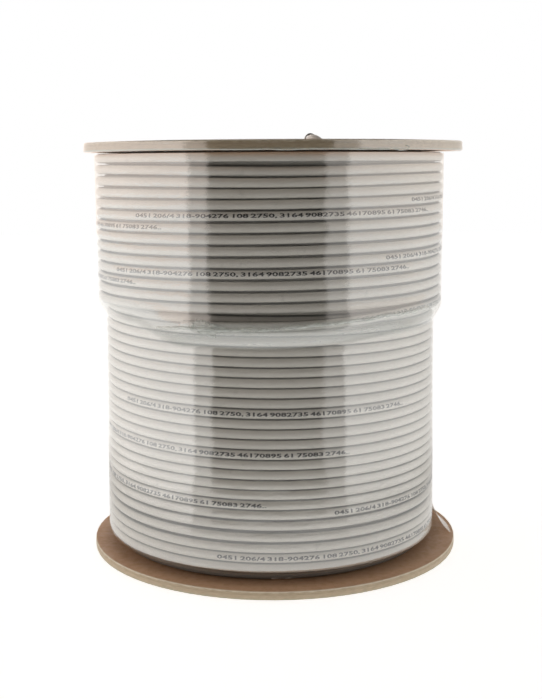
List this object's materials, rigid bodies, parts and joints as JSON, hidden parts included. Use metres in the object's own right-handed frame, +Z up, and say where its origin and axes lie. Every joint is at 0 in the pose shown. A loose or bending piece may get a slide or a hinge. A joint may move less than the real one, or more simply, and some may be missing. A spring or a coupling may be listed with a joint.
{
  "type": "reel of coaxial cable",
  "caption": "Full reel of white coaxial cable: round board flanges on a paper barrel, cable wound in close turns under clear stretch film.",
  "frame": {"origin": "centre of the bottom flange's underside, on the reel's axis", "axes": "+Z up along the reel's axis, -Y towards the front, +X to the right seen from the front"},
  "size_m": [0.285, 0.285, 0.3198],
  "materials": {
    "board": "satin",
    "barrel_paper": "matte",
    "zinc_steel": "satin",
    "cable_jacket": "satin",
    "stretch_film": "gloss",
    "print_ink": "matte",
    "foam_dielectric": "matte",
    "braid": "satin",
    "conductor": "satin"
  },
  "bodies": {
    "root": {"top_flange": "board", "bottom_flange": "board", "barrel": "barrel_paper", "tie_bolt_1": "zinc_steel", "tie_bolt_2": "zinc_steel", "tie_bolt_3": "zinc_steel", "tee_nut_1": "zinc_steel", "tee_nut_2": "zinc_steel", "tee_nut_3": "zinc_steel", "cable_winding": "cable_jacket", "cable_outer_end": "cable_jacket", "cable_inner_end": "cable_jacket", "staple_1": "zinc_steel", "staple_2": "zinc_steel", "stretch_film": "stretch_film"}
  },
  "joints": []
}
